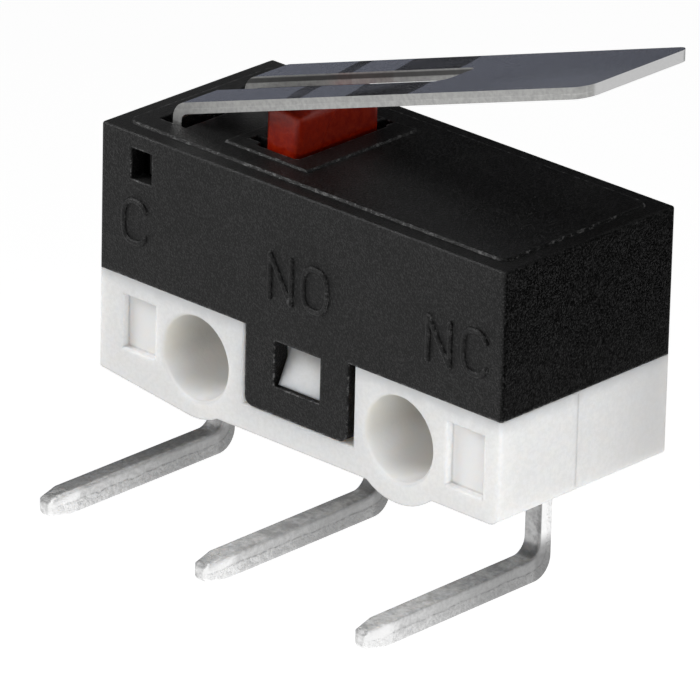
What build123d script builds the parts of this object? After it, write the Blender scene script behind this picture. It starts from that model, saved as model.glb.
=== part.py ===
from build123d import *
import math
import os

# Subminiature snap-action switch with a hinge lever and right-angle terminals.
# Millimetres. The origin is midway between the two mounting holes, in the middle of the depth.
# X runs along the body towards the free end of the lever, -Y is the marked front, +Z is up.

# Body: the white base and the black cover share one outline
body_length = 12.8
body_depth = 5.8
hole_pitch = 6.5
hole_diameter = 2.1
hole_lead_in = 0.1
case_top = 5.09
parting_height = 1.4
corner_radius = 0.08
rim_radius = 0.06

# Underside of the base: a sloped heel, two bosses under the holes, a waist and a flat toe
heel_bottom = -1.13
left_boss_radius = 1.5
right_boss_radius = 1.61
waist_bottom = -1.3
toe_bottom = -1.2
heel_radius = 0.16
toe_radius = 0.28
spigot_height = 0.5
spigot_clearance = 0.05
spigot_lead_in = 0.1

# Core-out pockets at both ends of the base's front face, and a step in its right end
pocket_depth = 0.22
pocket_rim_radius = 0.05
left_pocket_x = -5.09
left_pocket_z = 0.245
left_pocket_length = 1.06
left_pocket_height = 1.37
right_pocket_x = 5.32
right_pocket_z = 0.135
right_pocket_length = 1.14
right_pocket_height = 1.57
end_step_depth = 0.02
end_step_y = -0.25

# Cover: thin walls, a roof with a shallow raised panel, and a pad round the plunger
wall = 0.45
roof = 0.5
panel_inset = 0.44
panel_rise = 0.06
panel_radius = 0.25
pad_x = -2.05
pad_length = 2.62
pad_width = 3.72
pad_rise = 0.05

# Latch: a tab of the cover on each long face snaps over a wedge of the base
tab_x = 0.015
tab_width = 3.27
tab_bottom = -0.62
tab_radius = 0.25
tab_gap = 0.03
tab_room_right = 0.17
recess_edge_radius = 0.1
window_x = 0.035
window_width = 1.47
window_bottom = 0.1
window_top = 1.25
wedge_side_gap = 0.08
wedge_bottom = 0.14
wedge_top = 1.02
wedge_reach = 0.4

# Lever: a stainless strip with two legs, bent down into the cover and hinged on two ears
lever_thickness = 0.28
lever_width = 3.6
lever_slope = 17.6
lever_tip_x = 7.66
lever_tip_height = 9.66
lever_tip_radius = 0.42
lever_foot_x = -5.0
lever_bend_radius = 0.5
lever_gap_width = 1.25
lever_gap_end = 2.25
lever_gap_radius = 0.3
hinge_height = 4.32
ear_height = 0.6
ear_recess = 0.35
ear_window_x = -5.08
ear_window_length = 0.68
ear_window_height = 0.79
foot_room_side = 0.1
foot_room_behind = 0.36
foot_room_ahead = 0.24

# Plunger: pushed by the lever, held under the roof by its flange, two feet over the blade
plunger_x = -2.02
plunger_length = 1.03
plunger_width = 2.8
plunger_crown = 1.0
plunger_clearance = 0.06
plunger_travel = 0.703
plunger_lever_gap = 0.03
plunger_corner_radius = 0.14
crown_edge_radius = 0.08
flange_margin_x = 0.3
flange_margin_y = 0.33
flange_thickness = 0.3
flange_gap = 0.04
foot_length = 0.6
foot_blade_gap = 0.03
guide_mouth_room = 0.1
guide_mouth_depth = 0.16
guide_notch_depth = 0.3
left_notch_x = -2.85
left_notch_y = -1.22
left_notch_length = 0.44
left_notch_width = 0.3
back_notch_x = -1.6
back_notch_y = 1.7
back_notch_length = 0.36
back_notch_width = 0.4

# Terminals: stamped, pressed through the base, with the tail turned to the front
terminal_pitch = 5.08
terminal_width = 0.55
leg_thickness = 0.39
tail_height = 0.6
tail_middle = -3.44
tail_reach = 6.02
tail_outer_radius = 0.55
tail_inner_radius = 0.38
tip_length = 0.6
tip_width = 0.43
tip_height = 0.42
tail_edge_radius = 0.07
tip_edge_radius = 0.12
tip_end_bevel = 0.08
terminal_clearance = 0.02
terminal_wall_gap = 0.05
sheet = 0.3
plate_width = 2.0
arm_width = 1.4
arm_bend_radius = 0.35

# Snap-action blade: a frame in tension round a bowed tongue in compression
blade_thickness = 0.08
blade_width = 3.0
blade_rail = 0.45
blade_crossbar = 0.3
blade_end_x = 4.75
blade_end_radius = 0.55
blade_hook_x = -4.63
tongue_width = 1.1
tongue_root_x = 3.2
tongue_low_x = 0.2
tongue_low_drop = 0.62
tongue_tip_drop = 0.34
hook_gap = 0.02
hook_notch_depth = 0.06
hook_notch_height = 0.18
anchor_post_width = 1.5
anchor_post_above = 0.25
tongue_post_x = -3.0
tongue_post_width = 1.3
tongue_post_above = 0.16
seat_depth = 0.1
seat_gap = 0.06
seat_room_above = 0.03
seat_room_below = 0.15

# Contacts: riveted through the blade and the two arms
contact_x = 4.2
contact_diameter = 0.95
contact_head = 0.24
contact_dome = 0.05
contact_rest_gap = 0.03
contact_travel = 0.55
shank_diameter = 0.5
shank_clearance = 0.01

# Heights and positions that follow from the sizes above
half_length = body_length / 2
half_depth = body_depth / 2
hole_x = hole_pitch / 2
cavity_length = body_length - 2 * wall
cavity_depth = body_depth - 2 * wall
roof_underside = case_top - roof
panel_top = case_top + panel_rise
pad_top = panel_top + pad_rise
floor_height = parting_height + spigot_height
tab_seat = half_depth - wall - tab_gap
tab_left = tab_x - tab_width / 2
lower_contact_top = floor_height + sheet + contact_head
moving_contact_bottom = lower_contact_top + contact_travel
blade_bottom = moving_contact_bottom + contact_head
blade_top = blade_bottom + blade_thickness
moving_contact_top = blade_top + contact_head
upper_contact_bottom = moving_contact_top + contact_rest_gap
upper_arm_bottom = upper_contact_bottom + contact_head
upper_arm_top = upper_arm_bottom + sheet
blade_swing = math.asin((contact_travel - contact_rest_gap) / (contact_x - blade_hook_x))
slope = math.radians(lever_slope)
plunger_left = plunger_x - plunger_length / 2
foot_left = plunger_x - foot_length / 2
blade_drop_at_foot = (foot_left - blade_hook_x) * math.sin(blade_swing)
foot_bottom = blade_top - blade_drop_at_foot + foot_blade_gap + plunger_travel
flange_top = roof_underside - flange_gap
flange_bottom = flange_top - flange_thickness
rail_middle = blade_width / 2 - blade_rail / 2
terminal_reach = terminal_pitch + terminal_width / 2


def lever_top(x):
    """Height of the lever's upper surface at x, on the straight incline."""
    return lever_tip_height + (x - lever_tip_x) * math.tan(slope)


def lever_underside(x):
    """Height of the lever's lower surface at x, on the straight incline."""
    return lever_top(x) - lever_thickness / math.cos(slope)


def rivet(foot_height, head_height):
    """A contact at contact_x: a shank from foot_height to head_height and its domed head beyond."""
    rise = math.copysign(contact_head, head_height - foot_height)
    dome = math.copysign(contact_dome, head_height - foot_height)
    with BuildPart() as contact:
        with BuildSketch(Plane.XZ):
            with BuildLine():
                shape = Polyline(
                    (contact_x, head_height + rise),
                    (contact_x, foot_height),
                    (contact_x + shank_diameter / 2, foot_height),
                    (contact_x + shank_diameter / 2, head_height),
                    (contact_x + contact_diameter / 2, head_height),
                    (contact_x + contact_diameter / 2, head_height + rise - dome),
                )
                TangentArc(shape @ 0, shape @ 1, tangent=(1, 0))
            make_face()
        revolve(axis=Axis((contact_x, 0, 0), (0, 0, 1)))
    return contact.part


# Leg and tail of a terminal at x = 0: through the base, bent to the front, with a tapered tip
leg_front = -leg_thickness / 2
leg_back = leg_thickness / 2
tail_top = tail_middle + tail_height / 2
tail_bottom = tail_middle - tail_height / 2
tip_start = tail_reach - tip_length

with BuildPart() as tail:
    with BuildSketch(Plane.YZ) as bent:
        with BuildLine():
            Polyline(
                (leg_front, floor_height),
                (leg_front, tail_top),
                (-tip_start, tail_top),
                (-tip_start, tail_bottom),
                (leg_back, tail_bottom),
                (leg_back, floor_height),
                close=True,
            )
        make_face()
        fillet(bent.vertices().sort_by_distance((leg_front, tail_top))[0], tail_inner_radius)
        fillet(bent.vertices().sort_by_distance((leg_back, tail_bottom))[0], tail_outer_radius)
    extrude(amount=terminal_width / 2, both=True)
    cut_ends = tail.faces().sort_by(Axis.Z)[-1].edges() + tail.faces().sort_by(Axis.Y)[0].edges()
    runs = tail.edges() - cut_ends
    fillet(runs - runs.filter_by(Axis.X), tail_edge_radius)
    with BuildSketch(Plane.XZ.offset(tip_start)):
        with Locations((0, tail_middle)):
            RectangleRounded(terminal_width, tail_height, tail_edge_radius)
    with BuildSketch(Plane.XZ.offset(tail_reach)):
        with Locations((0, tail_middle)):
            RectangleRounded(tip_width, tip_height, tip_edge_radius)
    loft()
    chamfer(tail.faces().sort_by(Axis.Y)[0].edges(), tip_end_bevel)

# White base: outline of the long faces, the heel running tangent into the left boss
heel_run = half_length - hole_x
heel_distance = math.hypot(heel_run, heel_bottom)
heel_angle = math.asin(left_boss_radius / heel_distance) - math.atan2(-heel_bottom, heel_run)
heel_length = math.sqrt(heel_distance**2 - left_boss_radius**2)
heel_end_x = -half_length + heel_length * math.cos(heel_angle)
heel_end_z = heel_bottom - heel_length * math.sin(heel_angle)

with BuildPart() as base:
    with BuildSketch(Plane.XZ) as outline:
        with BuildLine():
            Polyline(
                (-half_length, parting_height),
                (-half_length, heel_bottom),
                (heel_end_x, heel_end_z),
                (heel_end_x, waist_bottom),
                (hole_x, waist_bottom),
                (hole_x, toe_bottom),
                (half_length, toe_bottom),
                (half_length, parting_height),
                close=True,
            )
        make_face()
        fillet(outline.vertices().sort_by_distance((-half_length, heel_bottom))[0], heel_radius)
        fillet(outline.vertices().sort_by_distance((half_length, toe_bottom))[0], toe_radius)
        with Locations((-hole_x, 0)):
            Circle(left_boss_radius)
        with Locations((hole_x, 0)):
            Circle(right_boss_radius)
        with Locations((0, parting_height)):
            Rectangle(body_length, body_length, align=(Align.CENTER, Align.MAX), mode=Mode.INTERSECT)
    extrude(amount=half_depth, both=True)
    with BuildSketch(Plane.XY.offset(parting_height)):
        RectangleRounded(body_length, body_depth, corner_radius)
    extrude(amount=-body_length, mode=Mode.INTERSECT)

    # The right end face is set back a little behind the mould's parting line
    with BuildSketch(Plane.YZ.offset(half_length)):
        with Locations((end_step_y, parting_height)):
            Rectangle(body_depth, body_depth, align=(Align.MIN, Align.MAX))
    extrude(amount=-end_step_depth, mode=Mode.SUBTRACT)

    # Core-out pockets of the front face
    with BuildSketch(Plane.XZ.offset(half_depth)):
        with Locations((left_pocket_x, left_pocket_z)):
            Rectangle(left_pocket_length, left_pocket_height)
        with Locations((right_pocket_x, right_pocket_z)):
            Rectangle(right_pocket_length, right_pocket_height)
    extrude(amount=-pocket_depth, mode=Mode.SUBTRACT)
    fillet(base.edges(Select.LAST).group_by(Axis.Y)[0], pocket_rim_radius)

    # Recess and catch wedge for the cover's tab, on both long faces
    for side in (1, -1):
        with BuildSketch(Plane.XZ.offset(side * half_depth)):
            with Locations((tab_left - tab_gap, tab_bottom - tab_gap)):
                Rectangle(
                    tab_width + tab_gap + tab_room_right,
                    parting_height - tab_bottom + tab_gap,
                    align=(Align.MIN, Align.MIN),
                )
        extrude(amount=side * (tab_seat - half_depth), mode=Mode.SUBTRACT)
    mouths = base.edges().filter_by(Axis.Z).filter_by(lambda e: abs(e.center().X) < hole_x)
    fillet(mouths.filter_by(lambda e: abs(e.center().Y) > tab_seat + tab_gap), recess_edge_radius)
    for side in (1, -1):
        with BuildSketch(Plane.YZ.offset(window_x)):
            with BuildLine():
                Polyline(
                    (-side * tab_seat, wedge_bottom),
                    (-side * (tab_seat + wedge_reach), wedge_bottom),
                    (-side * tab_seat, wedge_top),
                    close=True,
                )
            make_face()
        extrude(amount=window_width / 2 - wedge_side_gap, both=True)

    # Spigot that centres the cover
    with BuildSketch(Plane.XY.offset(parting_height)):
        Rectangle(cavity_length - 2 * spigot_clearance, cavity_depth - 2 * spigot_clearance)
    extrude(amount=spigot_height)
    chamfer(base.faces().sort_by(Axis.Z)[-1].outer_wire().edges(), spigot_lead_in)

    # Mounting holes with rounded mouths
    with BuildSketch(Plane.XZ):
        with Locations((-hole_x, 0), (hole_x, 0)):
            Circle(hole_diameter / 2)
    extrude(amount=half_depth, both=True, mode=Mode.SUBTRACT)
    rims = base.edges().filter_by(GeomType.CIRCLE).filter_by(lambda e: e.radius < left_boss_radius)
    rims = rims.filter_by(lambda e: abs(abs(e.arc_center.X) - hole_x) < hole_lead_in)
    fillet(rims.filter_by(lambda e: abs(e.arc_center.Y) > tab_seat), hole_lead_in)

    # Slots for the legs of the three terminals
    with BuildSketch(Plane.XY.offset(floor_height)):
        with GridLocations(terminal_pitch, 0, 3, 1):
            Rectangle(terminal_width + 2 * terminal_clearance, leg_thickness + 2 * terminal_clearance)
    extrude(amount=-body_depth, mode=Mode.SUBTRACT)

# Black cover
with BuildPart() as cover:
    with BuildSketch(Plane.XY.offset(parting_height)):
        RectangleRounded(body_length, body_depth, corner_radius)
    extrude(amount=case_top - parting_height)
    fillet(cover.faces().sort_by(Axis.Z)[-1].outer_wire().edges(), rim_radius)

    # Cavity, with room at both ends for the outer terminals, however near the walls they come
    with BuildSketch(Plane.XY.offset(parting_height)):
        Rectangle(cavity_length, cavity_depth)
        Rectangle(2 * (terminal_reach + terminal_wall_gap), plate_width + 2 * terminal_wall_gap)
    extrude(amount=roof_underside - parting_height, mode=Mode.SUBTRACT)

    # Raised panel of the roof, and the pad round the plunger
    with BuildSketch(Plane.XY.offset(case_top)):
        RectangleRounded(body_length - 2 * panel_inset, body_depth - 2 * panel_inset, panel_radius)
    extrude(amount=panel_rise)
    with BuildSketch(Plane.XY.offset(panel_top)):
        with Locations((pad_x, 0)):
            Rectangle(pad_length, pad_width)
    extrude(amount=pad_rise)

    # Latch tabs with their windows, and the windows for the lever's ears
    for side in (1, -1):
        with BuildSketch(Plane.XZ.offset(side * half_depth)) as tab:
            with Locations((tab_x, parting_height + wall)):
                Rectangle(
                    tab_width,
                    parting_height + wall - tab_bottom,
                    align=(Align.CENTER, Align.MAX),
                )
            fillet(tab.vertices().group_by(Axis.Y)[0], tab_radius)
        extrude(amount=-side * wall)
        with BuildSketch(Plane.XZ.offset(side * half_depth)):
            with Locations((window_x, window_bottom)):
                Rectangle(window_width, window_top - window_bottom, align=(Align.CENTER, Align.MIN))
        extrude(amount=-side * wall, mode=Mode.SUBTRACT)
        with BuildSketch(Plane.XZ.offset(side * half_depth)):
            with Locations((ear_window_x, hinge_height)):
                Rectangle(ear_window_length, ear_window_height)
        extrude(amount=side * (lever_width / 2 - half_depth), mode=Mode.SUBTRACT)

    # Opening for the plunger with a wider mouth, a notch at its left and one at its back
    with BuildSketch(Plane.XY.offset(roof_underside)):
        with Locations((plunger_x, 0)):
            RectangleRounded(
                plunger_length + 2 * plunger_clearance,
                plunger_width + 2 * plunger_clearance,
                plunger_corner_radius,
            )
    extrude(amount=pad_top - roof_underside, mode=Mode.SUBTRACT)
    with BuildSketch(Plane.XY.offset(pad_top)):
        with Locations((plunger_x, 0)):
            RectangleRounded(
                plunger_length + 2 * (plunger_clearance + guide_mouth_room),
                plunger_width + 2 * (plunger_clearance + guide_mouth_room),
                plunger_corner_radius,
            )
    extrude(amount=-guide_mouth_depth, mode=Mode.SUBTRACT)
    with BuildSketch(Plane.XY.offset(pad_top)):
        with Locations((left_notch_x, left_notch_y)):
            Rectangle(left_notch_length, left_notch_width)
        with Locations((back_notch_x, back_notch_y)):
            Rectangle(back_notch_length, back_notch_width)
    extrude(amount=-guide_notch_depth, mode=Mode.SUBTRACT)

    # Slots for the two legs of the lever
    slot_left = lever_foot_x - lever_thickness / 2 - foot_room_behind
    slot_length = lever_thickness + foot_room_behind + foot_room_ahead
    leg_width = (lever_width - lever_gap_width) / 2
    leg_middle = (lever_width + lever_gap_width) / 4
    with BuildSketch(Plane.XY.offset(roof_underside)):
        with Locations((slot_left + slot_length / 2, 0)):
            with GridLocations(0, 2 * leg_middle, 1, 2):
                Rectangle(slot_length, leg_width + 2 * foot_room_side)
    extrude(amount=pad_top - roof_underside, mode=Mode.SUBTRACT)

# Lever: side profile, then the gap between the legs and the ears at their feet
foot_back = lever_foot_x - lever_thickness / 2
foot_front = lever_foot_x + lever_thickness / 2
foot_end = hinge_height - ear_height / 2

with BuildPart() as lever:
    with BuildSketch(Plane.XZ) as strip:
        with BuildLine():
            Polyline(
                (foot_back, foot_end),
                (foot_back, lever_top(foot_back)),
                (lever_tip_x, lever_top(lever_tip_x)),
                (lever_tip_x, lever_underside(lever_tip_x)),
                (foot_front, lever_underside(foot_front)),
                (foot_front, foot_end),
                close=True,
            )
        make_face()
        fillet(
            strip.vertices().sort_by_distance((foot_back, lever_top(foot_back)))[0],
            lever_bend_radius,
        )
        fillet(
            strip.vertices().sort_by_distance((foot_front, lever_underside(foot_front)))[0],
            lever_bend_radius - lever_thickness,
        )
    extrude(amount=lever_width / 2, both=True)
    fillet(lever.faces().sort_by(Axis.X)[-1].edges().sort_by(SortBy.LENGTH)[:2], lever_tip_radius)
    with BuildSketch(Plane.XY.offset(foot_end)):
        with Locations((lever_gap_end, 0)):
            Rectangle(body_length, lever_gap_width, align=(Align.MAX, Align.CENTER))
    extrude(amount=body_length, mode=Mode.SUBTRACT)
    gap_corners = lever.edges().filter_by(Axis.Z)
    gap_corners = gap_corners.sort_by(lambda e: abs(e.center().X - lever_gap_end))[:2]
    fillet(gap_corners, lever_gap_radius)
    with BuildSketch(Plane.XY.offset(foot_end)):
        with Locations((lever_foot_x, 0)):
            with GridLocations(0, half_depth - ear_recess + lever_gap_width / 2, 1, 2):
                Rectangle(lever_thickness, half_depth - ear_recess - lever_gap_width / 2)
    extrude(amount=ear_height)

# Red plunger: crowned top, flange under the roof, two feet over the rails of the blade
crown_middle = lever_underside(plunger_x) - (plunger_crown + plunger_lever_gap) / math.cos(slope)
crown_edge = crown_middle + math.sqrt(plunger_crown**2 - (plunger_length / 2) ** 2)

with BuildPart() as plunger:
    with BuildSketch(Plane.XY.offset(flange_bottom)):
        with Locations((plunger_x, 0)):
            RectangleRounded(plunger_length, plunger_width, plunger_corner_radius)
    extrude(amount=crown_middle + plunger_crown - flange_bottom)
    with BuildSketch(Plane.XZ):
        with BuildLine():
            crown = ThreePointArc(
                (plunger_left, crown_edge),
                (plunger_x, crown_middle + plunger_crown),
                (plunger_left + plunger_length, crown_edge),
            )
            Polyline(
                crown @ 1,
                (plunger_left + plunger_length, flange_bottom),
                (plunger_left, flange_bottom),
                crown @ 0,
            )
        make_face()
    extrude(amount=plunger_width, both=True, mode=Mode.INTERSECT)
    crown_edges = plunger.edges().filter_by(GeomType.CIRCLE)
    crown_edges = crown_edges.filter_by(lambda e: abs(e.radius - plunger_crown) < crown_edge_radius)
    fillet(crown_edges, crown_edge_radius)
    with BuildSketch(Plane.XY.offset(flange_bottom)):
        with Locations((plunger_x, 0)):
            Rectangle(plunger_length + 2 * flange_margin_x, plunger_width + 2 * flange_margin_y)
    extrude(amount=flange_thickness)
    with BuildSketch(Plane.XY.offset(foot_bottom)):
        with Locations((plunger_x, 0)):
            with GridLocations(0, 2 * rail_middle, 1, 2):
                Rectangle(foot_length, blade_rail)
    extrude(amount=flange_bottom - foot_bottom)

# Common terminal: a plate on the base floor with the anchor post and the tongue post
anchor_post_x = blade_hook_x + hook_gap - hook_notch_depth + sheet / 2
tongue_tip_x = tongue_post_x + sheet / 2 - seat_depth + seat_gap
tongue_tip_z = blade_bottom - tongue_tip_drop

with BuildPart() as common_terminal:
    with Locations((-terminal_pitch, 0, 0)):
        add(tail.part)
    with BuildSketch(Plane.XY.offset(floor_height)):
        with Locations((-terminal_reach, 0)):
            Rectangle(
                tongue_post_x + sheet / 2 + terminal_reach,
                plate_width,
                align=(Align.MIN, Align.CENTER),
            )
    extrude(amount=sheet)
    with BuildSketch(Plane.XY.offset(floor_height)):
        with Locations((anchor_post_x, 0)):
            Rectangle(sheet, anchor_post_width)
    extrude(amount=blade_top + anchor_post_above - floor_height)
    with BuildSketch(Plane.XY.offset(floor_height)):
        with Locations((tongue_post_x, 0)):
            Rectangle(sheet, tongue_post_width)
    extrude(amount=tongue_tip_z + tongue_post_above - floor_height)

    # Notch that hooks the crossbar of the blade, and seat of the tongue's tip
    with BuildSketch(Plane.XZ):
        with Locations((anchor_post_x - sheet / 2, blade_bottom + blade_thickness / 2)):
            Rectangle(2 * hook_notch_depth, hook_notch_height)
        with Locations((tongue_post_x + sheet / 2, tongue_tip_z - seat_room_below)):
            Rectangle(
                2 * seat_depth,
                blade_thickness + seat_room_above + seat_room_below,
                align=(Align.CENTER, Align.MIN),
            )
    extrude(amount=plate_width, both=True, mode=Mode.SUBTRACT)

# Normally open terminal: an arm along the base floor to the lower contact
with BuildPart() as normally_open_terminal:
    add(tail.part)
    with BuildSketch(Plane.XY.offset(floor_height)):
        with Locations((-terminal_width / 2, 0)):
            Rectangle(
                contact_x + terminal_width + terminal_width / 2,
                arm_width,
                align=(Align.MIN, Align.CENTER),
            )
        with Locations((contact_x, 0)):
            Circle(shank_diameter / 2 + shank_clearance, mode=Mode.SUBTRACT)
    extrude(amount=sheet)

# Normally closed terminal: rises beside the right wall and folds over to the upper contact
with BuildPart() as normally_closed_terminal:
    with Locations((terminal_pitch, 0, 0)):
        add(tail.part)
    with BuildSketch(Plane.XZ) as bracket:
        with BuildLine():
            Polyline(
                (terminal_reach, floor_height),
                (terminal_reach, upper_arm_top),
                (contact_x - contact_diameter / 2 - shank_clearance, upper_arm_top),
                (contact_x - contact_diameter / 2 - shank_clearance, upper_arm_bottom),
                (terminal_reach - sheet, upper_arm_bottom),
                (terminal_reach - sheet, floor_height),
                close=True,
            )
        make_face()
        fillet(
            bracket.vertices().sort_by_distance((terminal_reach, upper_arm_top))[0],
            arm_bend_radius,
        )
    extrude(amount=arm_width / 2, both=True)
    with BuildSketch(Plane.XY.offset(upper_arm_bottom)):
        with Locations((contact_x, 0)):
            Circle(shank_diameter / 2 + shank_clearance)
    extrude(amount=sheet, mode=Mode.SUBTRACT)

# Snap-action blade: flat frame, and the tongue bowed down from its front end to its seat
with BuildPart() as snap_blade:
    with BuildSketch(Plane.XY.offset(blade_bottom)):
        with Locations((blade_hook_x - blade_crossbar, 0)):
            Rectangle(
                blade_end_x - blade_hook_x + blade_crossbar,
                blade_width,
                align=(Align.MIN, Align.CENTER),
            )
        with Locations((blade_hook_x, 0)):
            Rectangle(
                tongue_root_x - blade_hook_x,
                blade_width - 2 * blade_rail,
                align=(Align.MIN, Align.CENTER),
                mode=Mode.SUBTRACT,
            )
        with Locations((contact_x, 0)):
            Circle(shank_diameter / 2 + shank_clearance, mode=Mode.SUBTRACT)
    extrude(amount=blade_thickness)
    fillet(snap_blade.edges().filter_by(Axis.Z).group_by(Axis.X)[-1], blade_end_radius)
    with BuildSketch(Plane.XZ):
        with BuildLine():
            under = ThreePointArc(
                (tongue_root_x, blade_bottom),
                (tongue_low_x, blade_bottom - tongue_low_drop),
                (tongue_tip_x, tongue_tip_z),
            )
            over = ThreePointArc(
                (tongue_root_x, blade_top),
                (tongue_low_x, blade_top - tongue_low_drop),
                (tongue_tip_x, tongue_tip_z + blade_thickness),
            )
            Line(under @ 0, over @ 0)
            Line(under @ 1, over @ 1)
        make_face()
    extrude(amount=tongue_width / 2, both=True)


# Contacts: the moving one has a head on each side of the blade
upper_rivet = rivet(blade_bottom, blade_top)
lower_rivet = rivet(blade_top, blade_bottom)
arm_rivet = rivet(floor_height, floor_height + sheet)
hanging_rivet = rivet(upper_arm_top, upper_arm_bottom)

with BuildPart() as moving_contact:
    add(upper_rivet)
    add(lower_rivet)

with BuildPart() as normally_open_contact:
    add(arm_rivet)

with BuildPart() as normally_closed_contact:
    add(hanging_rivet)

os.makedirs("parts", exist_ok=True)
base.part.label = "base"
cover.part.label = "cover"
lever.part.label = "lever"
plunger.part.label = "plunger"
common_terminal.part.label = "common_terminal"
normally_open_terminal.part.label = "normally_open_terminal"
normally_closed_terminal.part.label = "normally_closed_terminal"
snap_blade.part.label = "snap_blade"
moving_contact.part.label = "moving_contact"
normally_open_contact.part.label = "normally_open_contact"
normally_closed_contact.part.label = "normally_closed_contact"
export_step(base.part, "parts/base.step")
export_step(cover.part, "parts/cover.step")
export_step(lever.part, "parts/lever.step")
export_step(plunger.part, "parts/plunger.step")
export_step(common_terminal.part, "parts/common_terminal.step")
export_step(normally_open_terminal.part, "parts/normally_open_terminal.step")
export_step(normally_closed_terminal.part, "parts/normally_closed_terminal.step")
export_step(snap_blade.part, "parts/snap_blade.step")
export_step(moving_contact.part, "parts/moving_contact.step")
export_step(normally_open_contact.part, "parts/normally_open_contact.step")
export_step(normally_closed_contact.part, "parts/normally_closed_contact.step")
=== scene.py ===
# %% [markdown]
# # A micro switch with a hinge lever
#
# The solids of the switch come finished from a CAD model, with every body in its place. This
# lesson dresses them: moulded plastics that show their grain, rolled and sheared metal, the raised
# terminal marks on the cover, and a pale studio. Each step says what the real thing is, how it
# could be made in Blender, and why it is made this way.

# %% Load the solids
import math

import bpy
import numpy as np
from mathutils import Matrix, Vector


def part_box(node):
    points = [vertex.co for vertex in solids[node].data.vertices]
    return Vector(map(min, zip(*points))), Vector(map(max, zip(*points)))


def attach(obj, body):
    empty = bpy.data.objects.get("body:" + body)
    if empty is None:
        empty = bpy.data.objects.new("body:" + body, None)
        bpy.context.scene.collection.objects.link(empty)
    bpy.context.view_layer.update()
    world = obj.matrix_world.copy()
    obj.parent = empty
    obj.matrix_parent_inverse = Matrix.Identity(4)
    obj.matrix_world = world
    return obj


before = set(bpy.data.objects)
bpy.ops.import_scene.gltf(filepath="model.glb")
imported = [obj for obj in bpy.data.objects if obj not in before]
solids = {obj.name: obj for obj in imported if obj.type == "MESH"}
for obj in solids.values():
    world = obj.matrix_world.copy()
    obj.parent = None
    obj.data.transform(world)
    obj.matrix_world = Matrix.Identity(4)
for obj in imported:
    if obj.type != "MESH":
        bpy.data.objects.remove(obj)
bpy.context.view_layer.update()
mm = 0.001
print("solids:", ", ".join(sorted(solids)))

# %% [markdown]
# ## The camera
#
# A product picture of a switch 13 mm long is taken from well back with a long lens, so that its
# edges stay nearly parallel. A camera could be turned by hand until it looks right. Here its
# bearing, height and roll are numbers, and the three axes of the view follow from them by two
# cross products, which is easier to repeat.

# %% Axes of the view
view_bearing = math.radians(42.623)
view_height = math.radians(23.229)
view_roll = math.radians(1.391)

towards_camera = Vector((
    math.sin(view_bearing) * math.cos(view_height),
    -math.cos(view_bearing) * math.cos(view_height),
    math.sin(view_height),
))
level_right = (-towards_camera).cross(Vector((0, 0, 1))).normalized()
level_up = level_right.cross(-towards_camera)
right = level_right * math.cos(view_roll) + level_up * math.sin(view_roll)
up = level_up * math.cos(view_roll) - level_right * math.sin(view_roll)
print("towards the camera:", [round(c, 3) for c in towards_camera])

# %% [markdown]
# A new camera shows nothing that is nearer than 100 mm. That is half the way to this object, so
# the near plane is brought in, and the far one too. The lens is given by the ratio of its length
# to the sensor's width, which alone decides how wide the camera sees.

# %% Place the camera
view_distance = 198.64 * mm
view_target = Vector((-0.981, 0.0, 0.062)) * mm
lens_ratio = 8451.2 / 700
sensor = 36.0

lens = bpy.data.cameras.new("long_lens")
lens.sensor_width = sensor
lens.lens = sensor * lens_ratio
lens.clip_start = 1 * mm
lens.clip_end = 10.0
camera = bpy.data.objects.new("camera", lens)
turn = Matrix((right, up, towards_camera)).transposed().to_4x4()
camera.matrix_world = Matrix.Translation(view_target + towards_camera * view_distance) @ turn
bpy.context.scene.collection.objects.link(camera)
bpy.context.scene.camera = camera
print(f"lens {lens.lens:.0f} mm, camera {view_distance / mm:.0f} mm away")

# %% [markdown]
# ## Small helpers for materials
#
# A material is a net of nodes. Typing every node and wire would hide the idea, so short helpers
# do it. The first one adds a node with its settings. The others do sums on values that change
# over a surface, such as its x, y and z, until they are masks: 1 where an effect is, 0 elsewhere.

# %% Nodes and sums
def add_node(tree, kind, inputs=None, **settings):
    """A new node of that kind. inputs maps socket names or numbers to a value or to an output."""
    node = tree.nodes.new(kind)
    for name, value in settings.items():
        setattr(node, name, value)
    for name, value in (inputs or {}).items():
        socket = node.inputs[name]
        if isinstance(value, bpy.types.NodeSocket):
            tree.links.new(value, socket)
        else:
            socket.default_value = value
    return node


def calc(tree, operation, *values):
    """One sum on values or outputs, by the Math node of that name."""
    return add_node(tree, "ShaderNodeMath", dict(enumerate(values)), operation=operation).outputs[0]


def times(tree, product, *others):
    """The product of masks: 1 only where all of them are 1."""
    for other in others:
        product = calc(tree, "MULTIPLY", product, other)
    return product


def remap(tree, value, low, high, out_low=0.0, out_high=1.0):
    """Value from low to high becomes out_low to out_high, eased at both ends."""
    places = {0: value, 1: low, 2: high, 3: out_low, 4: out_high}
    node = add_node(tree, "ShaderNodeMapRange", places, interpolation_type="SMOOTHSTEP")
    return node.outputs[0]


print("helpers:", *(helper.__name__ for helper in (add_node, calc, times, remap)))

# %% [markdown]
# Most masks start from a place or a direction. A dot product compares two directions, a split
# takes a place apart, and a noise breaks up what would look ruled.

# %% Directions, places and noise
def dot(tree, first, second):
    """The dot product of two vectors: 1 where two unit vectors point the same way."""
    vectors = {0: first, 1: second}
    return add_node(tree, "ShaderNodeVectorMath", vectors, operation="DOT_PRODUCT").outputs["Value"]


def split(tree, vector):
    """The x, y and z of a vector, as three outputs."""
    return add_node(tree, "ShaderNodeSeparateXYZ", {0: vector}).outputs


def noise(tree, vector, waves_per_metre, detail, roughness=0.5):
    """A smooth noise between 0 and 1."""
    return add_node(tree, "ShaderNodeTexNoise", {
        "Vector": vector, "Scale": waves_per_metre, "Detail": detail, "Roughness": roughness,
    }).outputs[0]


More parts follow.
